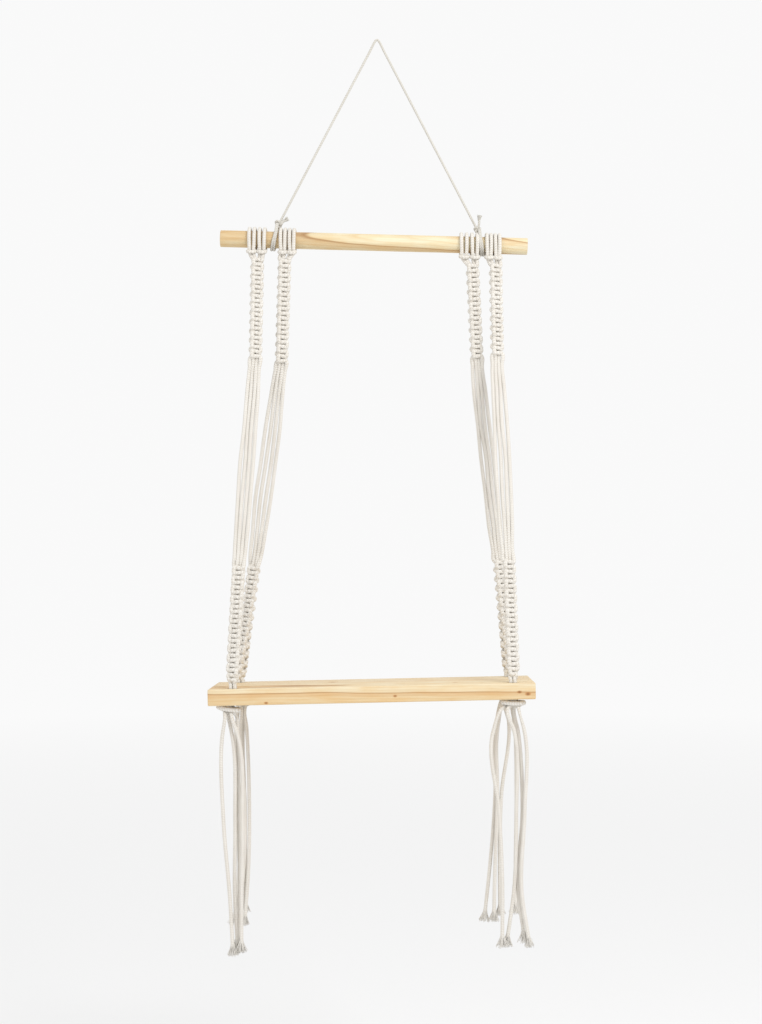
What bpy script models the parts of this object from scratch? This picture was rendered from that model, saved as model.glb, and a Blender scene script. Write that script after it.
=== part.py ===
"""A hanging macrame plant shelf.

A wooden board hangs from a round dowel by four macrame arms. Each arm is two cotton cords folded in
half on the dowel, so it has four strands: two lark's heads, a braid of square knots, a stretch of free
strands, a second braid, and a neck that goes down through a hole near the board's corner. Under the
board the four strands are tied in a knot, which carries the board, and hang down as a tassel. A thin
twine is tied to the dowel at two places, and the whole hangs from the bend at the twine's middle.

Axes: +X to the right, +Y to the back, +Z up, in metres. The origin is the top of the twine's bend. The
object hangs flat against the plane Y = BACK_Y, which the board's back edge touches.
"""

import math
from collections import namedtuple

import bmesh
import bpy
import numpy as np
from mathutils import Matrix, Vector

# Cords
CORD_R = 0.0022
TWINE_R = 0.0015
GAP = 0.0003                    # clearance that neighbouring pieces keep
TUBE_SIDES = 6
FRINGE_SIDES = 4

# Dowel
ROD_LENGTH = 0.352
ROD_R = 0.0095
ROD_CENTRE = Vector((-0.0034, -0.011, -0.2357))
ROD_TILT = math.radians(1.47)   # the right end hangs lower
ROD_SIDES = 32

# Board
BOARD_SIZE = Vector((0.358, 0.120, 0.018))
BACK_Y = 0.005
BOARD_CENTRE = Vector((-0.0044, BACK_Y - BOARD_SIZE.y / 2, -0.7464))
BOARD_TILT = math.radians(-1.24)  # the right end hangs higher
BOARD_EDGE = 0.001
HOLE_R = 0.0058
HOLE_SIDES = 20
HOLE_Y = {"front": -0.103, "back": -0.007}

# Lark's heads: each strand goes up the dowel's front, over it and down its back
TURN_R = ROD_R + GAP + CORD_R + 0.0004
TURN_ANGLES = np.radians(np.arange(0, 271, 30))
BAR_DROP = 0.0168               # from the dowel's centre down to the bar
BAR_FORWARD = 0.0028            # the bar lies this far in front of the strands
BAR_PINCH = 0.8                 # the bar draws its strands together to this share of their spacing

# Square-knot braids
KNOT_PITCH = 0.0108
LOWER_KNOTS = 12
BRAID_DROP = 0.0235             # from the dowel's centre down to the upper braid
KNOT_RINGS = (0.0, 0.28, 0.72)  # heights of a knot's groove and of the two edges of its ridge
BRAID_HALF_WIDTH = 0.0070
BRAID_HALF_DEPTH = 0.0048
BRAID_GROOVE = 0.78             # the groove between two knots as a share of their ridges
SIDE_BUMP = 0.0010              # each knot's loop stands out on one side
STRAND_SHARES = (0.0, 0.08, 0.25, 0.50, 0.75, 0.92, 1.0)  # points along the free strands
GRIP = ((-0.0047, 0.0), (-0.0016, 0.0019), (0.0016, -0.0019), (0.0047, 0.0))  # strands in a braid
BITE = 0.002                    # how far the strands run into a braid

# Neck: four strands pressed together in the hole, so its outline has four lobes
NECK_RISE = 0.0045              # the lower braid ends this far above the board
NECK_STRAIGHT = 0.0024          # the neck fills the hole up to this far above the board
NECK_LOBE = 0.0052
NECK_WAIST = 0.0042
NECK_TOP = 0.65                 # the neck's width in the braid, as a share

# Knots under the board
KNOT_WIDTH = 0.027
KNOT_HEIGHT = 0.0092
KNOT_DEPTH = 0.0135
KNOT_GROOVE = 0.88              # the grooves between the knot's ridges as a share of them
KNOT_BLUNT = 0.55               # how much the knot narrows to its ends
UNDER_BOARD = -BOARD_SIZE.z / 2 - GAP - KNOT_HEIGHT / 2  # the knot's middle, from the board's

# Hanger
APEX_R = 0.0028                 # the twine's bend at its top
TWINE_KNOT_R = 0.0033
TWINE_LOOP_R = ROD_R + GAP + TWINE_R + 0.0003
TWINE_LOOP_STEPS = 16
LOOP_DRAW = 8                   # how sharply the loop is drawn up to its knot

# One row an arm: where its strands turn on the dowel and how far apart, the sideways places of its
# braids' ends, the spacing of its free strands at their middle, its hole's place, how far to the side
# the knot under the hole lies, and the count of knots in its upper braid.
Arm = namedtuple("Arm", "side row rod_x turn_pitch top_x upper_x lower_x spread hole_x knot_shift knots")
ARMS = (
    Arm("left", "front", -0.1371, 0.0058, -0.1365, -0.1375, -0.1521, 0.0048, -0.1565, -0.0048, 11),
    Arm("left", "back", -0.1023, 0.0051, -0.1053, -0.1094, -0.1404, 0.0058, -0.1560, 0.0, 11),
    Arm("right", "back", 0.1059, 0.0061, 0.1086, 0.1139, 0.1395, 0.0049, 0.1507, 0.0, 10),
    Arm("right", "front", 0.1332, 0.0048, 0.1352, 0.1359, 0.1465, 0.0050, 0.1505, 0.0, 10),
)

# One row a tassel strand: its sideways distance from the hole at the five HEIGHTS, which are shares of
# its drop, its distance in front of (-) or behind (+) the hole at its knot and at its end, and its drop.
HEIGHTS = (0.0, 0.12, 0.45, 0.78, 1.0)
Strand = namedtuple("Strand", "side row x0 x12 x45 x78 x100 y0 y100 drop")
STRANDS = (
    Strand("left", "front", -0.0090, -0.0122, -0.0107, -0.0034, 0.0000, -0.003, -0.002, 0.270),
    Strand("left", "front", -0.0062, -0.0011, 0.0017, 0.0014, 0.0046, 0.001, 0.004, 0.268),
    Strand("left", "front", -0.0020, 0.0058, 0.0101, 0.0092, 0.0090, -0.003, -0.002, 0.266),
    Strand("left", "front", 0.0020, 0.0040, 0.0050, 0.0060, 0.0050, 0.004, 0.010, 0.262),
    Strand("left", "back", 0.0045, 0.0062, 0.0092, 0.0078, 0.0036, -0.003, -0.003, 0.256),
    Strand("left", "back", 0.0000, -0.0010, 0.0040, 0.0024, -0.0044, -0.004, -0.002, 0.252),
    Strand("left", "back", -0.0045, -0.0066, -0.0026, -0.0034, -0.0090, 0.003, 0.004, 0.256),
    Strand("left", "back", 0.0030, 0.0015, 0.0030, 0.0040, 0.0040, 0.004, 0.004, 0.242),
    Strand("right", "front", -0.0125, -0.0222, -0.0155, -0.0120, -0.0122, -0.002, -0.002, 0.267),
    Strand("right", "front", -0.0061, 0.0010, 0.0032, -0.0004, -0.0064, -0.004, 0.004, 0.263),
    Strand("right", "front", 0.0010, 0.0054, 0.0102, 0.0054, 0.0128, 0.003, 0.004, 0.263),
    Strand("right", "front", 0.0055, 0.0122, 0.0122, 0.0092, 0.0180, -0.003, -0.003, 0.267),
    Strand("right", "back", -0.0060, -0.0115, -0.0126, -0.0155, -0.0167, -0.003, -0.003, 0.258),
    Strand("right", "back", -0.0030, 0.0005, -0.0078, -0.0098, -0.0092, -0.004, 0.002, 0.252),
    Strand("right", "back", -0.0080, -0.0135, -0.0150, -0.0215, -0.0276, 0.004, 0.004, 0.259),
    Strand("right", "back", 0.0040, 0.0070, 0.0095, 0.0085, 0.0085, 0.002, 0.003, 0.250),
)
FLARE = 1.7                     # a cut end fans out to this many times the cord's width
FLARE_LENGTH = 0.012

# One row a side of the hanger: the knot's place and its height above the dowel's centre line, the
# loop's place at the dowel's top and bottom, and the loose end's reach from the knot.
Tie = namedtuple("Tie", "knot_x rise loop_top_x loop_bottom_x tail_x tail_z")
TIES = (
    Tie(-0.1128, 0.0192, -0.1142, -0.1222, 0.0065, 0.0045),
    Tie(0.1170, 0.0180, 0.1190, 0.1210, 0.0030, 0.0155),
)

PINE_DOWEL = ("pine_dowel", (0.76, 0.66, 0.46), 0.55)
PINE_BOARD = ("pine_board", (0.76, 0.62, 0.42), 0.55)
COTTON = ("cotton_cord", (0.78, 0.75, 0.71), 0.92)
TWINE = ("hanger_twine", (0.76, 0.73, 0.68), 0.90)


def clear_scene():
    for obj in list(bpy.data.objects):
        bpy.data.objects.remove(obj, do_unlink=True)


def make_collection(name):
    collection = bpy.data.collections.new(name)
    bpy.context.scene.collection.children.link(collection)
    return collection


def make_material(look):
    name, colour, roughness = look
    if name in bpy.data.materials:
        return bpy.data.materials[name]
    material = bpy.data.materials.new(name)
    material.use_nodes = True
    shader = material.node_tree.nodes["Principled BSDF"]
    shader.inputs["Base Color"].default_value = (*colour, 1.0)
    shader.inputs["Roughness"].default_value = roughness
    shader.inputs["Metallic"].default_value = 0.0
    return material


def finish(obj, name, look, collection):
    """Names an object, gives it its one material and puts it in the part's collection."""
    obj.name = name
    obj.data.name = name
    obj.data.materials.clear()
    obj.data.materials.append(make_material(look))
    for old in list(obj.users_collection):
        old.objects.unlink(obj)
    collection.objects.link(obj)
    obj.data.shade_smooth()
    obj.data.set_sharp_from_angle(angle=math.radians(40))
    return obj


def evaluated_copy(obj):
    """A new mesh object with obj's evaluated shape in world space. The old object is removed."""
    bpy.context.view_layer.update()
    shape = obj.evaluated_get(bpy.context.evaluated_depsgraph_get())
    mesh = bpy.data.meshes.new_from_object(shape)
    mesh.transform(obj.matrix_world)
    bm = bmesh.new()
    bm.from_mesh(mesh)
    bmesh.ops.remove_doubles(bm, verts=bm.verts, dist=1e-6)
    bmesh.ops.recalc_face_normals(bm, faces=bm.faces)
    bm.to_mesh(mesh)
    bm.free()
    bpy.data.objects.remove(obj, do_unlink=True)
    made = bpy.data.objects.new("piece", mesh)
    bpy.context.scene.collection.objects.link(made)
    return made


def tube(points, radius, sides=TUBE_SIDES, widths=None, closed=False):
    """A round tube along points; widths are each point's share of the radius."""
    curve = bpy.data.curves.new("tube", "CURVE")
    curve.dimensions = "3D"
    curve.bevel_depth = radius
    curve.bevel_resolution = sides // 2 - 2
    curve.use_fill_caps = True
    spline = curve.splines.new("POLY")
    spline.points.add(len(points) - 1)
    for i, point in enumerate(points):
        spline.points[i].co = (*point, 1.0)
        spline.points[i].radius = 1.0 if widths is None else widths[i]
    spline.use_cyclic_u = closed
    obj = bpy.data.objects.new("tube", curve)
    bpy.context.scene.collection.objects.link(obj)
    return evaluated_copy(obj)


def loft(rings):
    """A closed body through rings, an array of (ring, point, xyz), with a flat cap at each end."""
    count, around = rings.shape[:2]
    first = np.arange(count - 1)[:, None] * around
    here = np.arange(around)[None, :]
    after = (here + 1) % around
    sides = np.stack([first + here, first + after, first + around + after, first + around + here], -1)
    caps = [list(range(around))[::-1], list(range((count - 1) * around, count * around))]
    mesh = bpy.data.meshes.new("loft")
    mesh.from_pydata(rings.reshape(-1, 3).tolist(), [], sides.reshape(-1, 4).tolist() + caps)
    bm = bmesh.new()
    bm.from_mesh(mesh)
    bmesh.ops.recalc_face_normals(bm, faces=bm.faces)
    bm.to_mesh(mesh)
    bm.free()
    obj = bpy.data.objects.new("loft", mesh)
    bpy.context.scene.collection.objects.link(obj)
    return obj


def fuse(pieces):
    """One closed body from pieces that run into each other."""
    body, others = pieces[0], pieces[1:]
    group = bpy.data.collections.new("fused")
    bpy.context.scene.collection.children.link(group)
    for piece in others:
        group.objects.link(piece)
    union = body.modifiers.new("join", "BOOLEAN")
    union.operation = "UNION"
    union.operand_type = "COLLECTION"
    union.collection = group
    fused = evaluated_copy(body)
    for piece in others:
        bpy.data.objects.remove(piece, do_unlink=True)
    bpy.data.collections.remove(group)
    return fused


def rod_z(x):
    """Height of the dowel's centre line at x."""
    return ROD_CENTRE.z - (x - ROD_CENTRE.x) * math.tan(ROD_TILT)


def rod_point(x, forward, up):
    """A point by its distance in front of and above the dowel's centre line at x."""
    return Vector((x, ROD_CENTRE.y - forward, rod_z(x) + up))


def board_point(x, y, up):
    """A point by its world x and y and its height above the board's middle plane."""
    middle = BOARD_CENTRE.z - (x - BOARD_CENTRE.x) * math.tan(BOARD_TILT)
    return Vector((x + up * math.sin(BOARD_TILT), y, middle + up))


def smooth_path(points, steps):
    """A Catmull-Rom curve through points, with this many steps to each span."""
    p = np.array(points, float)
    p = np.vstack([2 * p[0] - p[1], p, 2 * p[-1] - p[-2]])
    out = []
    for a, b, c, d in zip(p[:-3], p[1:-2], p[2:-1], p[3:]):
        for t in np.arange(steps) / steps:
            out.append(0.5 * (2 * b + (c - a) * t + (2 * a - 5 * b + 4 * c - d) * t ** 2
                              + (3 * b - a - 3 * c + d) * t ** 3))
    return np.array(out + [p[-2]])


def make_rod(collection):
    bpy.ops.mesh.primitive_cylinder_add(vertices=ROD_SIDES, radius=ROD_R, depth=ROD_LENGTH)
    rod = bpy.context.object
    rod.data.transform(Matrix.Rotation(math.pi / 2, 4, "Y"))
    rod.location = ROD_CENTRE
    rod.rotation_euler.y = ROD_TILT
    return finish(rod, "hanging_rod", PINE_DOWEL, collection)


def make_board(collection, cutters):
    bpy.ops.mesh.primitive_cube_add(size=1.0)
    board = bpy.context.object
    board.data.transform(Matrix.Diagonal((*BOARD_SIZE, 1.0)))
    board.location = BOARD_CENTRE
    board.rotation_euler.y = BOARD_TILT
    bevel = board.modifiers.new("rounded edges", "BEVEL")
    bevel.width = BOARD_EDGE
    bevel.segments = 1
    for arm in ARMS:
        bpy.ops.mesh.primitive_cylinder_add(vertices=HOLE_SIDES, radius=HOLE_R, depth=3 * BOARD_SIZE.z)
        drill = bpy.context.object
        drill.name = f"drill_{arm.row}_{arm.side}"
        drill.location = board_point(arm.hole_x, HOLE_Y[arm.row], 0.0)
        drill.rotation_euler.y = BOARD_TILT
        drill.hide_render = True
        drill.display_type = "WIRE"
        for old in list(drill.users_collection):
            old.objects.unlink(drill)
        cutters.objects.link(drill)
        hole = board.modifiers.new(drill.name, "BOOLEAN")
        hole.operation = "DIFFERENCE"
        hole.object = drill
    return finish(board, "shelf_board", PINE_BOARD, collection)


def row_places(pitch):
    """Sideways places of four strands, side by side."""
    return [(i - 1.5) * pitch for i in range(4)]


def braid(start, end, knots):
    """A bar of square knots: one ridge a knot, and on one side the knot's loop stands out."""
    down = (end - start).normalized()
    side = (Vector((1, 0, 0)) - down * down.x).normalized()
    front = side.cross(down)
    height = np.append((np.arange(knots)[:, None] + np.array(KNOT_RINGS)).ravel(), knots) / knots
    step = np.arange(len(height)) % len(KNOT_RINGS)
    share = np.where(step == 0, BRAID_GROOVE, 1.0)
    bump = np.where(step == 2, SIDE_BUMP, 0.0)
    angle = np.arange(TUBE_SIDES) * 2 * math.pi / TUBE_SIDES
    middle = np.array(start)[None, :] + np.outer(height, np.array(end - start))
    across = BRAID_HALF_WIDTH * np.outer((1 + share) / 2, np.cos(angle))
    across += np.outer(bump, np.cos(angle) > 0.9)
    deep = BRAID_HALF_DEPTH / math.sin(math.pi / 3) * np.outer(share, np.sin(angle))
    rings = middle[:, None, :] + across[..., None] * np.array(side) + deep[..., None] * np.array(front)
    return loft(rings)


def arm_joints(arm):
    """The four ends of an arm's two braids, from the top down."""
    top = rod_point(arm.top_x, TURN_R, -BRAID_DROP)
    foot = board_point(arm.hole_x, HOLE_Y[arm.row], BOARD_SIZE.z / 2 + NECK_RISE)
    slope = (foot.y - top.y) / (foot.z - top.z)
    upper_z = top.z - arm.knots * KNOT_PITCH
    lower_z = foot.z + LOWER_KNOTS * KNOT_PITCH
    upper = Vector((arm.upper_x, top.y + slope * (upper_z - top.z), upper_z))
    lower = Vector((arm.lower_x, top.y + slope * (lower_z - top.z), lower_z))
    return top, upper, lower, foot


def larks_heads(arm, top):
    """Four strands up from the braid and round the dowel, and the two bars in front of them."""
    places = row_places(arm.turn_pitch)
    pieces = []
    for place, (across, deep) in zip(places, GRIP):
        x = arm.rod_x + place
        at_bar = rod_point(arm.rod_x + place * BAR_PINCH, TURN_R, -BAR_DROP)
        path = [top + Vector((across, deep, -BITE)), at_bar]
        path += [rod_point(x, TURN_R * math.cos(a), TURN_R * math.sin(a)) for a in TURN_ANGLES]
        pieces.append(tube(path, CORD_R))
    for left, right in (places[:2], places[2:]):
        ends = [arm.rod_x + left, arm.rod_x + right]
        front = [rod_point(x, TURN_R + BAR_FORWARD, -BAR_DROP) for x in ends]
        back = [rod_point(x, 0.0, -TURN_R - CORD_R / 2) for x in ends]
        pieces.append(tube([back[0], front[0], front[1], back[1]], CORD_R))
    return pieces


def free_strands(arm, upper, lower):
    """Four strands side by side, a little apart between the two braids that hold them."""
    share = np.array(STRAND_SHARES)
    opened = np.sin(math.pi * share) ** 0.6
    run = (lower - upper).normalized()
    start, end = np.array(upper - run * BITE), np.array(lower + run * BITE)
    middle = start + np.outer(share, end - start)
    pieces = []
    for (across, deep), free in zip(GRIP, row_places(arm.spread)):
        path = middle.copy()
        path[:, 0] += across + (free - across) * opened
        path[:, 1] += deep * (1 - opened / 2)
        pieces.append(tube(path, CORD_R))
    return pieces


def neck(arm, foot):
    """The four strands pressed together, from the lower braid down through the hole."""
    half = BOARD_SIZE.z / 2
    levels = [(foot + Vector((0.0, 0.0, BITE)), NECK_TOP)]
    for up in (half + NECK_STRAIGHT, GAP - half):
        levels.append((board_point(arm.hole_x, HOLE_Y[arm.row], up), 1.0))
    angle = np.arange(8) * math.pi / 4
    radius = np.where(np.arange(8) % 2 == 1, NECK_LOBE, NECK_WAIST)
    outline = np.stack([radius * np.cos(angle), radius * np.sin(angle), np.zeros(8)], axis=1)
    return loft(np.array([np.array(middle) + outline * share for middle, share in levels]))


def make_arm(arm, collection):
    top, upper, lower, foot = arm_joints(arm)
    pieces = [braid(top, upper, arm.knots), braid(lower, foot, LOWER_KNOTS), neck(arm, foot)]
    pieces += larks_heads(arm, top) + free_strands(arm, upper, lower)
    return finish(fuse(pieces), f"arm_{arm.row}_{arm.side}", COTTON, collection)


def carrying_knot(arm):
    """The knot under an arm's hole: a short bar across, with three ridges, blunt at its ends."""
    x = arm.hole_x + arm.knot_shift
    centre = board_point(x, HOLE_Y[arm.row], UNDER_BOARD)
    along = np.array((math.cos(BOARD_TILT), 0.0, -math.sin(BOARD_TILT)))
    share = np.linspace(-1.0, 1.0, 9)
    ridge = np.where(np.arange(9) % 2, 1.0, KNOT_GROOVE)
    round_end = (1 - np.abs(share) ** 3 * KNOT_BLUNT) * ridge
    angle = np.arange(8) * math.pi / 4
    rings = np.zeros((9, 8, 3)) + np.array(centre)
    rings += (share * KNOT_WIDTH / 2)[:, None, None] * along
    rings[..., 1] += KNOT_DEPTH / 2 * np.outer(round_end, np.cos(angle))
    rings[..., 2] += KNOT_HEIGHT / 2 * np.outer(round_end, np.sin(angle))
    return loft(rings)


def tassel_strand(arm, strand):
    """One hanging cord end, which fans out at its cut."""
    centre = board_point(arm.hole_x, HOLE_Y[arm.row], UNDER_BOARD)
    offsets = (strand.x0, strand.x12, strand.x45, strand.x78, strand.x100)
    points = [
        (centre.x + x, centre.y + strand.y0 + (strand.y100 - strand.y0) * t, centre.z - t * strand.drop)
        for x, t in zip(offsets, HEIGHTS)
    ]
    path = smooth_path(points, 2)
    flare_start = path[-1] + (path[-2] - path[-1]) * FLARE_LENGTH / np.linalg.norm(path[-2] - path[-1])
    path = np.vstack([path[:-1], flare_start, path[-1]])
    widths = [1.0] * (len(path) - 1) + [FLARE]
    return tube(path, CORD_R, FRINGE_SIDES, widths)


def make_tassel(arm, collection):
    pieces = [carrying_knot(arm)]
    for strand in STRANDS:
        if (strand.side, strand.row) == (arm.side, arm.row):
            pieces.append(tassel_strand(arm, strand))
    return finish(fuse(pieces), f"tassel_{arm.row}_{arm.side}", COTTON, collection)


def twine_loop(tie):
    """The twine's turn round the dowel: a ring, drawn up to its knot and slanted along the dowel."""
    points = []
    for angle in np.linspace(0.0, 2 * math.pi, TWINE_LOOP_STEPS, endpoint=False):
        high = (1 + math.cos(angle)) / 2
        radius = TWINE_LOOP_R + (tie.rise - TWINE_LOOP_R) * high ** LOOP_DRAW
        x = tie.loop_bottom_x + (tie.loop_top_x - tie.loop_bottom_x) * high
        points.append(rod_point(x, radius * math.sin(angle), radius * math.cos(angle)))
    return tube(points, TWINE_R, closed=True)


def twine_line(knots):
    """The twine from one knot up to its bend and down to the other knot."""
    left, right = knots
    lean = math.atan2((right.x - left.x) / 2, -(left.z + right.z) / 2)
    turn = math.pi / 2 - lean
    points = [left]
    for angle in np.linspace(-turn, turn, 7):
        points.append(Vector((APEX_R * math.sin(angle), 0.0, APEX_R * (math.cos(angle) - 1))))
    return tube(points + [right], TWINE_R)


def make_hanger(collection):
    knots = [rod_point(tie.knot_x, 0.0, tie.rise) for tie in TIES]
    pieces = [twine_line(knots)]
    for tie, knot in zip(TIES, knots):
        bpy.ops.mesh.primitive_uv_sphere_add(segments=8, ring_count=6, radius=TWINE_KNOT_R)
        ball = bpy.context.object
        ball.location = knot
        pieces.append(evaluated_copy(ball))
        pieces.append(twine_loop(tie))
        tail = knot + Vector((tie.tail_x, 0.0, tie.tail_z))
        pieces.append(tube([knot, (knot + tail) / 2, tail], TWINE_R, widths=(1.0, 1.0, FLARE)))
    return finish(fuse(pieces), "hanger_cord", TWINE, collection)


def main():
    clear_scene()
    collection = make_collection("macrame_plant_shelf")
    cutters = make_collection("cutters")
    make_rod(collection)
    make_board(collection, cutters)
    make_hanger(collection)
    for arm in ARMS:
        make_arm(arm, collection)
        make_tassel(arm, collection)


main()
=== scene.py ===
# %% [markdown]
# # A macrame shelf
#
# A pine board hangs from a round pine dowel by four arms of knotted cotton cord. Each arm is two cords
# folded in half over the dowel, so four strands run down it: two lark's heads, a braid of square knots,
# a stretch of free strands, a second braid, and a neck through a hole in the board. A knot under the
# board carries it, and the cut ends hang down as a tassel.
#
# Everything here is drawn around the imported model, which is loaded first and never moved.

# %% Load the frame
import math
from collections import namedtuple

import bpy
import numpy as np
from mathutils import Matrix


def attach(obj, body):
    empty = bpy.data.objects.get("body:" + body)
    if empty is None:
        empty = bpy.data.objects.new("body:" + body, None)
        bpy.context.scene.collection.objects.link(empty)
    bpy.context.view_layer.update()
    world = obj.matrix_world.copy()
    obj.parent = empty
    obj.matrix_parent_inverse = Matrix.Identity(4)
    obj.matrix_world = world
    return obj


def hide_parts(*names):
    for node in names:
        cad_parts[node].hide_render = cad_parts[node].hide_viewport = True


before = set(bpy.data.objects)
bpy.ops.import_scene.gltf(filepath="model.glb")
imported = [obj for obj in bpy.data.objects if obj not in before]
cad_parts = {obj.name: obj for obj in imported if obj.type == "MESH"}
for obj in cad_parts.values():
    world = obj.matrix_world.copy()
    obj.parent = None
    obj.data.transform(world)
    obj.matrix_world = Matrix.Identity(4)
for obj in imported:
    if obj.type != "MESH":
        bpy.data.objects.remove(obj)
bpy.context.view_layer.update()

MM = 0.001
print("nodes", sorted(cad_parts))

# %% [markdown]
# ## The camera
#
# The photograph was taken level, from about two metres away and a little above the middle. A lens of
# 63 mm on a 36 mm frame gives the same perspective. The object stands a little off the picture's centre.
# Turning the camera would put it there too, but would make upright lines lean, so the lens is shifted.

# %% Camera
FRAME_HEIGHT = 1024  # the picture's height in pixels
FOCAL_PIXELS = 1800  # the lens's focal length in those pixels
SENSOR = 36.0  # mm
SHIFT_PIXELS = (-19, 43)
CAMERA_PLACE = (0.0265, -2.077, -0.5943)
LEVEL = (math.pi / 2, 0.0, 0.0)


def add_object(name, data):
    """A new object with this data, put into the scene."""
    made = bpy.data.objects.new(name, data)
    bpy.context.scene.collection.objects.link(made)
    return made


camera = add_object("camera", bpy.data.cameras.new("camera"))
camera.data.sensor_width = SENSOR
camera.data.lens = FOCAL_PIXELS * SENSOR / FRAME_HEIGHT
camera.data.shift_x = SHIFT_PIXELS[0] / FRAME_HEIGHT
camera.data.shift_y = SHIFT_PIXELS[1] / FRAME_HEIGHT
camera.location = CAMERA_PLACE
camera.rotation_euler = LEVEL
bpy.context.scene.camera = camera
print("lens", round(camera.data.lens, 2), "mm")

# %% [markdown]
# ## Light
#
# A bright, even room: a pale world lights every side, a large soft lamp above and to the right gives the
# cords their shape, and a weaker one fills the left. The lamps are large because a large lamp's shadows
# fade softly, where a small one would draw a hard line beside each strand.

# %% Light
WORLD_COLOUR = (1.0, 1.0, 1.0)
WORLD_STRENGTH = 0.95
LIT_PLACE = (0.0, -0.05, -0.52)  # the object's middle

scene = bpy.context.scene
scene.view_settings.view_transform = "Standard"
world = bpy.data.worlds.new("pale room")
world.use_nodes = True
background = world.node_tree.nodes["Background"]
background.inputs["Color"].default_value = (*WORLD_COLOUR, 1.0)
background.inputs["Strength"].default_value = WORLD_STRENGTH
scene.world = world


def soft_lamp(name, place, size, watts):
    """A square lamp that shines from place at LIT_PLACE. With w the way there, it is tipped by
    arccos(-w_z / |w|) and turned by the bearing of (w_x, w_y) less a quarter turn."""
    lamp = bpy.data.lights.new(name, "AREA")
    lamp.size = size
    lamp.energy = watts
    made = add_object(name, lamp)
    way = np.array(LIT_PLACE) - np.array(place)
    tip = math.acos(-way[2] / np.linalg.norm(way))
    made.location = place
    made.rotation_euler = (tip, 0.0, math.atan2(way[1], way[0]) - math.pi / 2)
    return made


key = soft_lamp("key lamp", place=(0.95, -1.55, 0.75), size=0.8, watts=20)
fill = soft_lamp("fill lamp", place=(-1.5, -1.5, -0.2), size=1.2, watts=3)
print("lamps of", key.data.energy, "and", fill.data.energy, "watts")

# %% [markdown]
# ## Floor
#
# One very large, plain square below the tassels is floor and background in one, so no edge or corner of a
# room shows.

# %% Floor
FLOOR_Z = -1.30
FLOOR_REACH = 40.0
FLOOR_CORNERS = ((-1, -1), (1, -1), (1, 1), (-1, 1))

floor_mesh = bpy.data.meshes.new("floor")
corners = [(x * FLOOR_REACH, y * FLOOR_REACH, FLOOR_Z) for x, y in FLOOR_CORNERS]
floor_mesh.from_pydata(corners, [], [(0, 1, 2, 3)])
floor = add_object("floor", floor_mesh)
print("floor at", FLOOR_Z)

# %% [markdown]
# ## Curves to carry cord along
#
# Cord is drawn as a surface carried along a smooth path. Only the places where a cord is held or bends
# are written down. The curve between two of them is the cubic that leaves and arrives with their own
# slopes, which keeps a long free stretch calm right beside a tight knot.

# %% Paths
def unit(rows):
    """Each row divided by its length."""
    return rows / np.linalg.norm(rows, axis=-1, keepdims=True)


def lengths(points):
    """Distance along the points from the first to each: the sum of the chords up to it."""
    steps = np.linalg.norm(np.diff(points[:, :3], axis=0), axis=1)
    return np.concatenate([[0.0], np.cumsum(steps)])


def smooth_path(points, spacing):
    """A curve through points, read off about every spacing. Columns past x, y and z are carried along.

    With t from 0 to 1 between two points p and q whose slopes are m and n over a span s, the curve is
    (2t^3 - 3t^2 + 1) p + (t^3 - 2t^2 + t) s m + (3t^2 - 2t^3) q + (t^3 - t^2) s n."""
    p = np.asarray(points, float)
    reach = lengths(p)
    slope = np.gradient(p, reach, axis=0)
    at = np.linspace(0.0, reach[-1], max(3, round(reach[-1] / spacing) + 1))
    i = np.clip(np.searchsorted(reach, at, side="right") - 1, 0, len(p) - 2)
    span = (reach[i + 1] - reach[i])[:, None]
    t = (at - reach[i])[:, None] / span
    ends = (2 * t**3 - 3 * t**2 + 1) * p[i] + (3 * t**2 - 2 * t**3) * p[i + 1]
    return ends + span * ((t**3 - 2 * t**2 + t) * slope[i] + (t**3 - t**2) * slope[i + 1])


START_SIDE = (0.31, 0.87, 0.38)  # a direction that no path starts along


def carried_axes(path):
    """Two directions square to the path at each point. The first is the one before it, less its part
    along the path and one long again, so it doesn't turn round the path. The second is the cross
    product of the path's direction and the first."""
    along = unit(np.gradient(path, axis=0))
    side = np.empty_like(along)
    last = np.cross(along[0], START_SIDE)
    for ring, way in enumerate(along):
        last = last - way * (last @ way)
        last = last / np.linalg.norm(last)
        side[ring] = last
    return side, np.cross(along, side)


angles = np.radians((0, 30, 60, 90))
arc = smooth_path(np.stack([np.cos(angles), np.sin(angles), 0 * angles], -1), 0.02)
print("a quarter circle through 4 points:", round(lengths(arc)[-1], 3), "for", round(math.pi / 2, 3))

# %% [markdown]
# ## The cord's pattern
#
# The cotton cord is braided: short stitches lie in columns along it, slanting left in one column and right
# in the next. The hanger's twine is simply laid: two plies run round each other. Both patterns are low
# crests on a circle. A bump map alone could fake them, but bumps vanish at the outline, and the saw-toothed
# edge is what tells cotton from plastic, so the crests are in the surface.

# %% Cord patterns
CORD_R = 2.2 * MM
TWINE_R = 1.45 * MM


def laid(count, lay, theta, run):
    """Plies laid round each other: |cos(count / 2 * (theta - 2 pi s / lay))| is 1 on a ply's crest."""
    return np.abs(np.cos(count / 2 * (theta - 2 * np.pi * run / lay)))


def braided(count, lay, theta, run):
    """Stitches in columns: |sin(pi * (s / lay + zig / 2))| is 1 on a stitch's crest, where zig goes from
    0 to 1 over one column and back to 0 over the next."""
    zig = 1 - np.abs((theta * count / (2 * np.pi)) % 2 - 1)
    return np.abs(np.sin(np.pi * (run / lay + zig / 2)))


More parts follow.
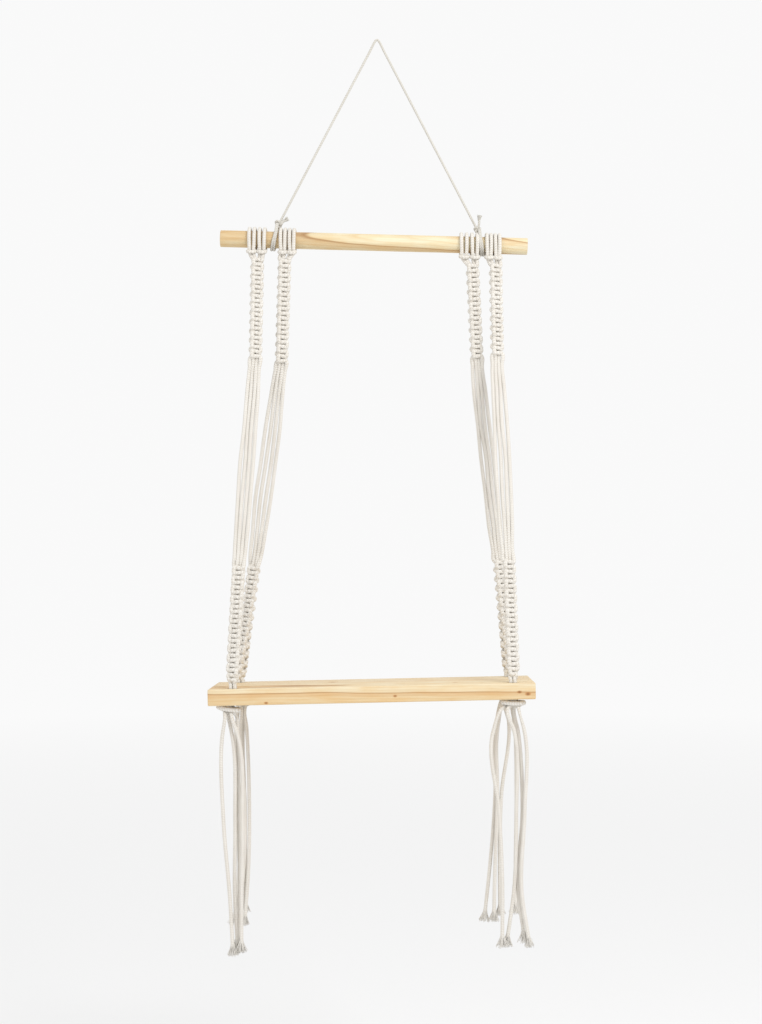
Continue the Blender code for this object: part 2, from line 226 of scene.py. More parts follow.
# A cord's radius, its pattern, its count of plies or columns, the length of a turn or stitch, its grooves'
# depth as a share of the radius, the points round it, and the distance between its rings.
CordKind = namedtuple("CordKind", "radius make count lay depth sides spacing")
COTTON_CORD = CordKind(CORD_R, braided, 6, 2.7 * MM, 0.09, 12, 0.68 * MM)
HANGER_TWINE = CordKind(TWINE_R, laid, 2, 6.0 * MM, 0.20, 10, 0.8 * MM)
YARN = CordKind(0.34 * MM, laid, 0, MM, 0.0, 4, 2.0 * MM)  # a count of 0 is a plain, round yarn
print("cord", round(2 * CORD_R / MM, 1), "mm thick, twine", round(2 * TWINE_R / MM, 1), "mm thick")

# %% [markdown]
# ## From a path to a surface
#
# A cord's skin is a function of two numbers: how far along the cord a point lies, and its angle round it.
# Blender can bevel a curve, but a bevel has one radius and no stitches, so the grid of points is worked
# out here, all at once.

# %% Cord surface
# A grid of points, how deep each lies in a groove, how far along each ring is, and whether it is braided.
Surface = namedtuple("Surface", "points groove run stitched", defaults=(0.0,))


def cord_surface(kind, points):
    """A grid of (ring, side): the path plus radius * width * crest in the direction theta round it,
    where crest = 1 - depth * (1 - make). The points' fourth column is the width there, as a share."""
    path = smooth_path(points, kind.spacing)
    side, square = carried_axes(path[:, :3])
    run = lengths(path)
    theta = np.arange(kind.sides) * 2 * np.pi / kind.sides
    wave = kind.make(kind.count, kind.lay, theta, run[:, None])
    radius = kind.radius * path[:, 3, None] * (1 - kind.depth * (1 - wave))
    ring = np.cos(theta)[:, None] * side[:, None] + np.sin(theta)[:, None] * square[:, None]
    return Surface(path[:, None, :3] + radius[..., None] * ring, 1 - wave, run, float(kind.make is braided))


def with_width(points, width=1.0):
    """Points with a fourth column, the cord's width as a share."""
    points = np.atleast_2d(points)
    return np.column_stack([points, np.full(len(points), width)])


metre = cord_surface(COTTON_CORD, with_width(((0.0, 0.0, 0.0), (0.0, 0.0, 0.5), (0.0, 0.0, 1.0))))
print("a metre of cotton cord has", metre.points.size // 3, "points")

# %% [markdown]
# ## Many tubes in one mesh
#
# A piece is one mesh, however many tubes it has, so each tube's faces are numbered on from the last
# tube's points. Both ends get a flat cap, because an open tube is no solid. A map goes with the faces:
# once round the tube is 1 across, and along it is in metres, so a pattern isn't stretched on a long cord.

# %% Tubes to a mesh
def grid_faces(rings, sides, first):
    """Quads between each ring and the next on a closed grid whose points start at number first, and
    how far round and on which ring each of their corners lies."""
    i, j = np.meshgrid(np.arange(rings - 1), np.arange(sides), indexing="ij")
    after = (j + 1) % sides
    quads = np.stack([i * sides + j, i * sides + after, (i + 1) * sides + after, (i + 1) * sides + j], -1)
    across = np.stack([j, j + 1, j + 1, j], -1) / sides
    ring = np.stack([i, i, i + 1, i + 1], -1)
    return quads.reshape(-1, 4) + first, across.reshape(-1), ring.reshape(-1)


def make_piece(name, surfaces):
    """One mesh of closed tubes. Each gets a flat cap at both ends and a map: round the tube and along it."""
    points, grooves, stitched, faces, marks, first = [], [], [], [], [], 0
    for surface in surfaces:
        rings, sides = surface.points.shape[:2]
        quads, across, ring = grid_faces(rings, sides, first)
        caps = [np.arange(sides)[::-1] + first, np.arange(sides) + first + (rings - 1) * sides]
        points.append(surface.points.reshape(-1, 3))
        grooves.append(surface.groove.reshape(-1))
        stitched.append(np.full(rings * sides, surface.stitched))
        faces += quads.tolist() + [cap.tolist() for cap in caps]
        marks.append(np.stack([across, surface.run[ring]], -1))
        marks.append(np.repeat([[0.5, 0.0]], 2 * sides, axis=0))
        first += rings * sides
    mesh = bpy.data.meshes.new(name)
    mesh.from_pydata(np.vstack(points).tolist(), [], faces)
    mesh.uv_layers.new(name="cord map").data.foreach_set("uv", np.vstack(marks).ravel())
    mesh.attributes.new("groove", "FLOAT", "POINT").data.foreach_set("value", np.concatenate(grooves))
    mesh.attributes.new("stitched", "FLOAT", "POINT").data.foreach_set("value", np.concatenate(stitched))
    mesh.shade_smooth()
    print(f"{name}: {len(surfaces)} tubes, {sum(len(f) - 2 for f in faces)} triangles")
    return add_object(name, mesh)

# %% [markdown]
# ## Where the dowel and the board hang
#
# The dowel's right end hangs a little lower and the board's a little higher, so places on them are
# worked out from their middles and their tilt.

# %% Dowel and board places
ROD_LENGTH = 352 * MM
ROD_R = 9.5 * MM
ROD_CENTRE = np.array((-3.4, -11.0, -235.7)) * MM
ROD_TILT = math.radians(1.47)
BOARD_SIZE = np.array((358, 120, 18)) * MM
BOARD_CENTRE = np.array((-4.4, -55.0, -746.4)) * MM
BOARD_TILT = math.radians(-1.24)
HALF_BOARD = BOARD_SIZE[2] / 2
HOLE_R = 5.8 * MM
HOLE_Y = {"front": -103 * MM, "back": -7 * MM}


def rod_level(x):
    """The height of the dowel's centre line at x: it falls by tan(tilt) for each metre to the right."""
    return ROD_CENTRE[2] - (x - ROD_CENTRE[0]) * math.tan(ROD_TILT)


def rod_point(x, forward, up):
    """A point in front of and above the dowel's centre line at x."""
    return np.array((x, ROD_CENTRE[1] - forward, rod_level(x) + up))


def board_point(x, y, up):
    """A point by its own x and y and its height above the board's middle plane. The height leans with
    the board, so it also moves the point sideways, by up * sin(tilt)."""
    middle = BOARD_CENTRE[2] - (x - BOARD_CENTRE[0]) * math.tan(BOARD_TILT)
    return np.array((x + up * math.sin(BOARD_TILT), y, middle + up))


def tilted(points, centre, tilt):
    """Points turned round the Y axis and moved to centre: x becomes x cos(tilt) + z sin(tilt), and z
    becomes z cos(tilt) - x sin(tilt)."""
    x, y, z = points[..., 0], points[..., 1], points[..., 2]
    cos, sin = math.cos(tilt), math.sin(tilt)
    return np.stack([x * cos + z * sin, y, z * cos - x * sin], -1) + centre


print("board's top middle in mm", np.round(board_point(*BOARD_CENTRE[:2], HALF_BOARD) / MM, 1))

# %% [markdown]
# ## The four arms' places
#
# All four arms are made in the same way, but by hand, so no two hang quite alike. What differs from arm
# to arm is one row of a table, and every function below reads it. Drawing one arm and copying it would be
# quicker, but a hand-tied piece with four equal arms looks like a machine's.

# %% Places of the arms
# One row an arm, from left to right: where its strands turn on the dowel and how far apart, the
# sideways places of its braids' ends, the spacing of its free strands, its hole, how far to the side
# the knot under the hole lies, the knots in its upper braid, and how far each braid is turned at its top
# and at its foot, in degrees. A turned braid's left edge comes forward.
Arm = namedtuple("Arm", "side row rod_x turn_pitch top_x upper_x lower_x spread hole_x knot_shift knots"
                        " upper_turn lower_turn")
ARMS = (
    Arm("left", "front", -0.1371, 0.0058, -0.1365, -0.1375, -0.1521, 0.0048, -0.1565, -0.0048, 11,
        upper_turn=(22, 26), lower_turn=(2, -26)),
    Arm("left", "back", -0.1023, 0.0051, -0.1053, -0.1094, -0.1404, 0.0058, -0.1560, 0.0, 11,
        upper_turn=(18, 26), lower_turn=(-14, -78)),
    Arm("right", "back", 0.1059, 0.0061, 0.1086, 0.1139, 0.1395, 0.0049, 0.1507, 0.0, 10,
        upper_turn=(20, 26), lower_turn=(30, 70)),
    Arm("right", "front", 0.1332, 0.0048, 0.1352, 0.1359, 0.1465, 0.0050, 0.1505, 0.0, 10,
        upper_turn=(20, 30), lower_turn=(22, 22)),
)
print("arms", [f"{arm.row} {arm.side}" for arm in ARMS])

# %% [markdown]
# ## Square knots
#
# In a braid of square knots two strands run straight down the middle and two are worked round them.
# One of these always crosses in front, to and fro: each crossing is a bar. The other crosses behind and
# comes forward at the edges, where it holds the bars' ends down. So the front shows a ladder of bars
# between two chains of upright bumps, and the two chains are half a knot out of step.
#
# A knot is symmetric, so only half of each strand's way is written down. The other half is its mirror
# image, half a knot lower.

# %% Half a square knot
KNOT_PITCH = 10.8 * MM
Place = namedtuple("Place", "across front down")  # in mm, and down in knots
FRONT_STRAND = (
    Place(-5.3, -1.3, 0.00), Place(-4.5, 0.2, 0.16), Place(-2.3, 3.1, 0.225), Place(0.0, 3.9, 0.25),
    Place(2.3, 3.1, 0.275), Place(4.5, 0.2, 0.34),
)
BACK_STRAND = (
    Place(5.2, 3.0, 0.00), Place(4.9, 3.3, 0.20), Place(3.8, 1.0, 0.39), Place(2.0, -3.0, 0.35),
    Place(0.0, -3.9, 0.25), Place(-2.0, -3.0, 0.15), Place(-3.8, 1.0, 0.11), Place(-4.9, 3.3, 0.30),
)


def worked_strand(half, knots):
    """Places of a strand over the given knots: the half, the same with its sideways places negated and
    half a knot lower, and this pair again for each knot, one knot lower each time."""
    half = np.array(half)
    knot = np.vstack([half, half * (-1, 1, 1) + (0, 0, 0.5)])
    run = knot + np.arange(knots)[:, None, None] * (0, 0, 1)
    return run.reshape(-1, 3) * (MM, MM, KNOT_PITCH)


for where, half in (("in front", FRONT_STRAND), ("behind", BACK_STRAND)):
    run = lengths(worked_strand(half, 1))[-1]
    print(f"a strand worked {where} takes {run / MM:.0f} mm for a knot of {KNOT_PITCH / MM:.1f} mm")

# %% [markdown]
# ## A strand through a braid
#
# A braid leans with its arm and is turned a little, as the hand left it. So a strand's places are written
# as if the braid hung straight and faced us, and are then turned and laid along its own direction. That
# way one small table serves all eight braids. Above the board the last knot is drawn in for the hole.

# %% Strands through a braid
LOWER_KNOTS = 12
WORKED = (0, 3)  # the outer two of four strands are worked round the inner two
WORKED_WIDTH = 1.10  # a worked strand is squeezed broader
CORE_ACROSS = 2.0 * MM
CORE_FORWARD = 0.6 * MM
CORE_WIDTH = 0.95
CORE_START = 0.3  # knots between the braid's end and the core's first place
DRAWN_KNOTS = 0.9  # knots above the foot over which a braid is drawn in


def in_braid(places, start, end, turns):
    """Places across, forward and down, laid along the braid from start to end. At an angle that goes
    evenly from turns[0] to turns[1] degrees, across a and forward f become a cos + f sin and
    f cos - a sin."""
    down = unit(end - start)
    side = unit(np.cross(np.cross(down, (1.0, 0.0, 0.0)), down))
    across, front, run = places.T
    angle = np.radians(turns[0] + (turns[1] - turns[0]) * run / np.linalg.norm(end - start))
    turned_places = np.column_stack([
        across * np.cos(angle) + front * np.sin(angle), front * np.cos(angle) - across * np.sin(angle), run,
    ])
    return start + turned_places @ np.array([side, np.cross(down, side), down])


def braid_route(index, start, end, knots, turns, draw=0.0):
    """The way of one of the four strands through a braid. Over the last knot its places are drawn in
    by a share that grows evenly from 0 to draw."""
    if index in WORKED:
        places = worked_strand(FRONT_STRAND if index == WORKED[0] else BACK_STRAND, knots)
    else:
        down = np.linspace(CORE_START, knots - CORE_START, 2 * knots) * KNOT_PITCH
        across = (2 * index - 3) * CORE_ACROSS
        places = np.stack([np.full_like(down, across), np.full_like(down, CORE_FORWARD), down], -1)
    last = np.clip(places[:, 2] / KNOT_PITCH - (knots - DRAWN_KNOTS), 0.0, 1.0)
    places = places * np.stack([1 - draw * last, 1 - draw * last, np.ones_like(last)], -1)
    return with_width(in_braid(places, start, end, turns), WORKED_WIDTH if index in WORKED else CORE_WIDTH)


print("the lower braids are", round(LOWER_KNOTS * KNOT_PITCH / MM, 1), "mm long")

# %% [markdown]
# ## Lark's heads
#
# A cord is folded in half, its fold goes over the dowel and down behind it, comes forward underneath,
# and both strands are drawn through it. From the front one sees two turns up the dowel, and the fold as
# a short bar across them. The route is written for one strand, from the middle of that bar to the braid.

# %% Lark's heads
TURN_R = ROD_R + CORD_R + 0.7 * MM  # from the dowel's middle to a turn's
TURN_ANGLES = np.radians((262, 230, 195, 160, 125, 90, 55, 20))  # bottom, back, top, front
BAR_DROP = 16.8 * MM  # from the dowel's middle down to the bar
BAR_FORWARD = 3.7 * MM  # from a turn forward to the bar
BAR_PINCH = 0.72  # the bar draws the strands behind it together to this share
HEAD_WIDTH = 0.98


def head_x(arm, index):
    """The middle of a strand's lark's head: a turn's pitch to the left or right of the arm's place."""
    return arm.rod_x + math.copysign(arm.turn_pitch, index - 1.5)


def head_bar(arm, index):
    """The middle of the bar between strand index and the next."""
    middle = rod_point(head_x(arm, index), TURN_R + BAR_FORWARD + 0.3 * MM, -BAR_DROP - 0.2 * MM)
    return with_width(middle, HEAD_WIDTH)


def head_route(arm, index):
    """One strand from its lark's head's bar, round the dowel and down behind the bar. Round the dowel
    it lies TURN_R cos(angle) forward and TURN_R sin(angle) up."""
    head = head_x(arm, index)
    out = (-1 if index % 2 == 0 else 1) * arm.turn_pitch / 2
    side = math.copysign(1.0, out)
    points = [
        rod_point(head + out * 0.5, TURN_R + BAR_FORWARD, -BAR_DROP),  # along the bar
        rod_point(head + out + side * 0.9 * MM, TURN_R + 1.6 * MM, -BAR_DROP + 0.5 * MM),  # round its end
        rod_point(head + out + side * 0.8 * MM, TURN_R * 0.62, -TURN_R - 1.6 * MM),  # back underneath
    ]
    points += [rod_point(head + out, TURN_R * math.cos(a), TURN_R * math.sin(a)) for a in TURN_ANGLES]
    points += [
        rod_point(head + out * 0.9, TURN_R + 0.2 * MM, -9.0 * MM),  # down in front of the dowel
        rod_point(head + out * BAR_PINCH, TURN_R - 0.5 * MM, -BAR_DROP),  # behind the bar
    ]
    return with_width(np.array(points), HEAD_WIDTH)


print("a lark's head takes", round(2 * lengths(head_route(ARMS[0], 0))[-1] / MM), "mm of cord")

# %% [markdown]
# ## Free strands and neck
#
# Between the braids the four strands hang side by side. Hand-tied strands are never quite equally long,
# so each wavers a little. The wavering is random but seeded, so that it's the same each time, where a
# table of forty small numbers would be tiring to write. Below the second braid the strands close up, two
# by two, to go through the hole.

# %% Free strands and neck
BRAID_DROP = 23.5 * MM  # from the dowel's middle down to the upper braid
NECK_RISE = 4.5 * MM  # from the board's top up to the lower braid
FREE_SHARES = np.array((0.04, 0.16, 0.33, 0.50, 0.67, 0.84, 0.96))
STRAND_ENDS = np.array((-5.4, -1.8, 1.8, 5.2)) * MM  # sideways places of the strands in a braid's end
GRIP = 0.8  # a braid's hold on the free strands brings them to this share
WAVER = 0.55 * MM
HOLE_PLACES = np.array(((-2.3, -2.0), (-2.1, 2.3), (2.1, -2.3), (2.3, 2.0))) * MM
NECK_HEIGHTS = (HALF_BOARD + 1.5 * MM, 3 * MM, -3 * MM, -HALF_BOARD - 0.5 * MM)
NECK_WIDTH = 0.93
dice = np.random.default_rng(12)


def arm_joints(arm):
    """The four ends of an arm's two braids, from the top down. The inner two lie on the straight line,
    seen from the side, from the dowel to the hole."""
    top = rod_point(arm.top_x, TURN_R, -BRAID_DROP)
    foot = board_point(arm.hole_x, HOLE_Y[arm.row], HALF_BOARD + NECK_RISE)
    slope = (foot[1] - top[1]) / (foot[2] - top[2])
    upper_z = top[2] - arm.knots * KNOT_PITCH
    lower_z = foot[2] + LOWER_KNOTS * KNOT_PITCH
    upper = np.array((arm.upper_x, top[1] + slope * (upper_z - top[2]), upper_z))
    lower = np.array((arm.lower_x, top[1] + slope * (lower_z - top[2]), lower_z))
    return top, upper, lower, foot


def free_route(arm, index, upper, lower):
    """A free strand between the braids. At a share s of the way it has come sqrt(sin(pi s)) of the way
    from its place in a braid's end to its place in the open, and wavers by as much."""
    opened = np.sin(np.pi * FREE_SHARES) ** 0.5
    middle = upper + FREE_SHARES[:, None] * (lower - upper)
    free = (index - 1.5) * arm.spread
    middle[:, 0] += STRAND_ENDS[index] * GRIP * (1 - opened) + free * opened
    middle[:, :2] += dice.normal(0.0, WAVER, (len(middle), 2)) * opened[:, None]
    return with_width(middle)


def neck_route(arm, index):
    """A strand's last stretch, down through the hole in the board."""
    across, back = HOLE_PLACES[index]
    points = [board_point(arm.hole_x, HOLE_Y[arm.row], up) + (across, back, 0.0) for up in NECK_HEIGHTS]
    return with_width(np.array(points), NECK_WIDTH)


for arm in ARMS:
    _, upper, lower, _ = arm_joints(arm)
    print(f"{arm.row} {arm.side}: {np.linalg.norm(lower - upper) / MM:.0f} mm of free strands")

# %% [markdown]
# ## The arms
#
# A strand is its lark's head, a braid, a free stretch, a second braid and the neck, one after another.
# Two strands are the halves of one folded cord. So the first is gone along upwards, then the bar, and the
# second downwards: the cord is one tube, and its stitches run on over the fold as real ones do.

# %% Arms
FOOT_DRAW = 0.5  # a lower braid is drawn in by this share at its foot


def strand_route(arm, index):
    """A whole strand from its lark's head down to the board's underside."""
    top, upper, lower, foot = arm_joints(arm)
    return np.vstack([
        head_route(arm, index),
        braid_route(index, top, upper, arm.knots, arm.upper_turn),
        free_route(arm, index, upper, lower),
        braid_route(index, lower, foot, LOWER_KNOTS, arm.lower_turn, FOOT_DRAW),
        neck_route(arm, index),
    ])


arm_pieces = {}
for arm in ARMS:
    cords = []
    for left in (0, 2):
        route = np.vstack([strand_route(arm, left)[::-1], head_bar(arm, left), strand_route(arm, left + 1)])
        cords.append(cord_surface(COTTON_CORD, route))
        print(f"{arm.row} {arm.side}: a cord of {cords[-1].run[-1]:.2f} m above the board")
    arm_pieces[arm] = make_piece(f"arm_cords_{arm.row}_{arm.side}", cords)

# %% [markdown]
# ## Tassel strands
#
# Below its knot each cut strand hangs in slack bends of its own. A cloth or rope simulation would let the
# strands hang, but not in the bends that they keep from being knotted, so each has a row of places: its
# sideways distance from the hole at five shares of its drop, its distance behind the hole at its top and
# at its end, and its drop.

# %% Places of the tassel strands
HEIGHTS = (0.0, 0.12, 0.45, 0.78, 1.0)
Strand = namedtuple("Strand", "side row x0 x12 x45 x78 x100 y0 y100 drop")
STRANDS = (
    Strand("left", "front", -0.0090, -0.0122, -0.0107, -0.0034, 0.0000, -0.003, -0.002, 0.270),
    Strand("left", "front", -0.0062, -0.0011, 0.0017, 0.0014, 0.0046, 0.001, 0.004, 0.268),
    Strand("left", "front", -0.0020, 0.0058, 0.0101, 0.0092, 0.0090, -0.003, -0.002, 0.266),
    Strand("left", "front", 0.0020, 0.0040, 0.0050, 0.0060, 0.0050, 0.004, 0.010, 0.262),
    Strand("left", "back", -0.0045, -0.0066, -0.0026, -0.0034, -0.0090, 0.003, 0.004, 0.256),
    Strand("left", "back", 0.0000, -0.0010, 0.0040, 0.0024, -0.0044, -0.004, -0.002, 0.252),
    Strand("left", "back", 0.0030, 0.0015, 0.0030, 0.0040, 0.0040, 0.004, 0.004, 0.242),
    Strand("left", "back", 0.0045, 0.0062, 0.0092, 0.0078, 0.0036, -0.003, -0.003, 0.256),
    Strand("right", "front", -0.0125, -0.0222, -0.0155, -0.0120, -0.0122, -0.002, -0.002, 0.267),
    Strand("right", "front", -0.0061, 0.0010, 0.0032, 0.0006, -0.0074, -0.004, 0.003, 0.267),
    Strand("right", "front", 0.0010, 0.0054, 0.0102, 0.0054, 0.0128, 0.003, 0.004, 0.263),
    Strand("right", "front", 0.0055, 0.0122, 0.0122, 0.0092, 0.0180, -0.003, -0.003, 0.267),
    Strand("right", "back", -0.0080, -0.0135, -0.0150, -0.0215, -0.0276, 0.004, 0.004, 0.259),
    Strand("right", "back", -0.0060, -0.0115, -0.0126, -0.0155, -0.0167, -0.003, -0.003, 0.258),
    Strand("right", "back", -0.0030, 0.0005, -0.0078, -0.0098, -0.0092, -0.004, 0.002, 0.252),
    Strand("right", "back", 0.0040, 0.0070, 0.0095, 0.0085, 0.0085, 0.002, 0.003, 0.250),
)
print(len(STRANDS), "strands, the longest", round(max(strand.drop for strand in STRANDS) / MM), "mm")

# %% [markdown]
# ## Knots under the board
#
# Under the hole one strand wraps round the front of the others and one round their back. The front one
# shows as a bar that is too wide to slip back through. A real knot's whole path is hidden in it, so only
# these two wraps are drawn, and the middle two strands go straight down between them.

# %% Knots under the board
KNOT_REACH = 11.3 * MM  # from the knot's middle sideways to its end
KNOT_DEEP = 4.5 * MM  # from the knot's middle to its front
UNDER_BOARD = -HALF_BOARD - 4.3 * MM  # the knot's middle, from the board's
KNOT_FALL = {"left": 1.7 * MM, "right": 0.5 * MM}  # how far a bar's end lies below its middle
# Places of a wrap: sideways in shares of the reach, back in shares of the depth, and up in mm.
FRONT_WRAP = (
    (0.45, 0.7, 0.6), (0.86, 0.5, 0.5), (1.0, -0.1, 0.6), (0.8, -0.8, 0.4), (0.4, -1.0, 0.0),
    (-0.4, -1.0, 0.0), (-0.8, -0.8, 0.4), (-1.0, -0.1, 0.4), (-0.84, 0.6, -0.4), (-0.5, 0.9, -1.8),
)
BACK_WRAP = (
    (-0.3, -0.3, 1.6), (-0.6, 0.1, 0.9), (-0.5, 0.75, 0.4), (0.0, 1.05, 0.0), (0.5, 0.75, -0.4),
    (0.66, 0.2, -1.2), (0.45, -0.1, -2.4),
)
WRAP_WIDTH = 1.30
BETWEEN_WRAPS = 2.2 * MM  # from the knot's middle sideways to a straight strand


def knot_route(arm, index):
    """A strand's way through the knot: a wrap, which falls towards its end, or a short way down."""
    if index not in WORKED:
        return [((2 * index - 3) * BETWEEN_WRAPS, 0.0, up) for up in (3.0 * MM, -1.0 * MM)]
    wrap = np.array(FRONT_WRAP if index == WORKED[0] else BACK_WRAP)
    points = wrap * (KNOT_REACH, KNOT_DEEP, MM)
    points[:, 2] -= wrap[:, 0] * KNOT_FALL[arm.side]
    return points


def tassel_route(arm, index, strand):
    """A strand from inside the hole, through the knot and down to its cut. Its distance behind the
    hole goes evenly from its first to its last."""
    hole = board_point(arm.hole_x, HOLE_Y[arm.row], UNDER_BOARD)
    knot = board_point(arm.hole_x + arm.knot_shift, HOLE_Y[arm.row], UNDER_BOARD)
    across, back = HOLE_PLACES[index]
    start = with_width(hole + (across, back, 7 * MM))
    inside = with_width(knot + np.array(knot_route(arm, index)), WRAP_WIDTH if index in WORKED else 1.0)
    hanging = [(strand.x0, strand.y0, -6.0 * MM)]
    for x, share in zip((strand.x12, strand.x45, strand.x78, strand.x100), HEIGHTS[1:]):
        hanging.append((x, strand.y0 + (strand.y100 - strand.y0) * share, -share * strand.drop))
    return np.vstack([start, inside, with_width(hole + np.array(hanging))])


wrapped = lengths(np.array(knot_route(ARMS[0], WORKED[0])))[-1]
print("a front wrap takes", round(wrapped / MM), "mm of strand")

# %% [markdown]
# ## Cut ends
#
# A cut cord comes apart into its yarns. They could be hair particles, but hair has no mesh to keep, so each
# yarn is a thin tube with four sides. It starts inside the cord and bends outwards, and all the choices
# are random but seeded.

# %% Yarns at a cut
BRUSH_YARNS = 68
YARN_WIDTHS = (1.0, 1.0, 1.0, 0.9, 0.6)  # from a yarn's root to its tip
YARN_ROOT = 0.25  # the share of a yarn that is inside the cord
YARN_WITHIN = 0.85  # the share of the cord's radius that yarns come from
YARN_BEND = 1.4
FARTHEST_BACK = BOARD_CENTRE[1] + BOARD_SIZE[1] / 2 - 0.5 * MM


def brush(end, way, radius, flare, length):
    """The loose yarns at a cut. At a share s of its length a yarn is 1 + (w - 1) s^YARN_BEND times as
    far from the cord's middle as at its root, where w is about the flare. None goes behind the board."""
    side = unit(np.cross(way, (0.2, 1.0, 0.1)))
    square = np.cross(way, side)
    angle = dice.uniform(0, 2 * np.pi, BRUSH_YARNS)
    middle = np.sqrt(dice.uniform(0.02, 1.0, BRUSH_YARNS))
    wide = 1 + (flare - 1) * dice.uniform(0.6, 1.2, BRUSH_YARNS)
    long = length * dice.uniform(0.78, 1.05, BRUSH_YARNS)
    share = np.linspace(0.0, 1.0, len(YARN_WIDTHS))[:, None]
    yarns = []
    for a, r, w, reach in zip(angle, middle, wide, long):
        out = (math.cos(a) * side + math.sin(a) * square) * r * radius * YARN_WITHIN
        path = end + way * (share - YARN_ROOT) * reach + out * (1 + (w - 1) * share**YARN_BEND)
        path[:, 1] = np.minimum(path[:, 1], FARTHEST_BACK)
        yarns.append(cord_surface(YARN, np.column_stack([path, YARN_WIDTHS])))
    return yarns


print("a cut has", BRUSH_YARNS, "yarns of", round(2 * YARN.radius / MM, 2), "mm")

# %% [markdown]
# ## The tassels
#
# Each strand's route stops a little above its cut, and the brush of yarns goes on from there in the same
# direction. Each cut is flared by its own random amount, because equal brushes look stamped.

# %% Tassels
BRUSH = 14 * MM
BRUSH_RISE = 0.7  # the yarns start this share of their length above the cut
BRUSH_FLARES = (3.2, 4.8)

tassel_pieces = {}
for arm in ARMS:
    tubes = []
    own = [strand for strand in STRANDS if (strand.side, strand.row) == (arm.side, arm.row)]
    for index, strand in enumerate(own):
        route = tassel_route(arm, index, strand)
        way = unit(route[-1, :3] - route[-2, :3])
        route[-1, :3] -= way * BRUSH * BRUSH_RISE
        tubes.append(cord_surface(COTTON_CORD, route))
        tubes += brush(route[-1, :3], way, CORD_R, dice.uniform(*BRUSH_FLARES), BRUSH)
    tassel_pieces[arm] = make_piece(f"tassel_cords_{arm.row}_{arm.side}", tubes)

# %% [markdown]
# ## The hanger's ends
#
# A thin two-ply twine carries the dowel. At each end it goes twice round the dowel and is tied on itself,
# and a short end is left. An overhand knot is drawn as a trefoil curve, whose strand passes three times
# over and under itself. A ball with grooves would be simpler, but shows from the side that it isn't tied.

# %% Ties at the dowel
# One row an end: its knot's place and height above the dowel's middle, where its turns lie at the
# dowel's top and foot, how far the loose end reaches from the knot, and the size of the knot.
Tie = namedtuple("Tie", "knot_x rise loop_top_x loop_bottom_x tail_x tail_z size")
TIES = (
    Tie(-0.1122, 0.0188, -0.1142, -0.1196, 0.0064, 0.0036, 1.40 * MM),
    Tie(0.1153, 0.0175, 0.1176, 0.1207, 0.0020, 0.0122, 1.15 * MM),
)
TURNS_BESIDE = (-1.5 * MM, 1.5 * MM)  # two turns, this far to the side of the tie's place
TOPS_BESIDE = 0.35  # at the top they are together to this share
LOOP_R = ROD_R + TWINE_R + 0.6 * MM
LOOP_DRAW = 8
TAIL_BRUSH = 6 * MM
TAIL_FLARE = 2.4


def trefoil(centre, size):
    """A knot: x = sin t + 2 sin 2t, z = cos t - 2 cos 2t and y = -sin 3t, scaled by size."""
    t = np.linspace(0.0, 2 * np.pi, 40)
    shape = np.stack([np.sin(t) + 2 * np.sin(2 * t), -np.sin(3 * t), np.cos(t) - 2 * np.cos(2 * t)], -1)
    return with_width(centre + shape * size)


def dowel_loop(tie, beside):
    """One turn of the twine. Where high = (1 + cos(angle)) / 2, which is 1 at the top, its radius is
    LOOP_R + (rise - LOOP_R) * high^LOOP_DRAW: a ring that is drawn up to the knot at its top."""
    angle = np.linspace(0.02, 2 * np.pi - 0.02, 40)
    high = (1 + np.cos(angle)) / 2
    radius = LOOP_R + (tie.rise - LOOP_R) * high**LOOP_DRAW
    foot = tie.loop_bottom_x + beside
    x = foot + (tie.loop_top_x + TOPS_BESIDE * beside - foot) * high
    y = ROD_CENTRE[1] - radius * np.sin(angle)
    return with_width(np.stack([x, y, rod_level(x) + radius * np.cos(angle)], -1))


def loose_end(start, tie):
    """The twine's cut end, with its yarns spread. It bows a little on its way."""
    end = start + (tie.tail_x, -0.001, tie.tail_z)
    way = unit(end - start)
    bow = (start + end) / 2 + (0.0008, -0.001, 0.0)
    tail = cord_surface(HANGER_TWINE, with_width(np.array((start, bow, end))))
    return [tail] + brush(end, way, TWINE_R, TAIL_FLARE, TAIL_BRUSH)


turn = lengths(dowel_loop(TIES[0], 0.0))[-1]
print("a turn round the dowel takes", round(turn / MM), "mm of twine")

# %% [markdown]
# ## The hanger's line
#
# From one knot the twine goes straight up, over a tight bend and straight down to the other. A taut line
# is straight, so only the bend needs a curve: an arc, which both straight stretches meet without a kink.

# %% Hanger
APEX_R = 2.0 * MM
LINE_SHARE = 0.94  # the line ends this share of the way to the knot's middle

knots = [rod_point(tie.knot_x, 0.0, tie.rise) for tie in TIES]
lean = math.atan2((knots[1][0] - knots[0][0]) / 2, -(knots[0][2] + knots[1][2]) / 2)
bend = np.linspace(lean - math.pi / 2, math.pi / 2 - lean, 9)
over = np.stack([APEX_R * np.sin(bend), 0 * bend, APEX_R * (np.cos(bend) - 1)], -1)
down = np.linspace(0.0, LINE_SHARE, 9)[:, None]
sides = [knot + (over[end] - knot) * down for knot, end in zip(knots, (0, -1))]
line = np.vstack([sides[0], over, sides[1][::-1]])
tubes = [cord_surface(HANGER_TWINE, with_width(line))]
for tie, knot in zip(TIES, knots):
    tubes.append(cord_surface(HANGER_TWINE, trefoil(knot, tie.size)))
    tubes += [cord_surface(HANGER_TWINE, dowel_loop(tie, beside)) for beside in TURNS_BESIDE]
    tubes += loose_end(knot, tie)
hanger = make_piece("hanger_twine", tubes)

# %% [markdown]
# ## The dowel
#
# It is plain pine with eased ends. Blender's cylinder with a bevel would nearly do, but a circle that is
# carried along the dowel can also waver a little in size, as a sanded stick does. The last rings at each
# end are drawn in, which rounds the cut.

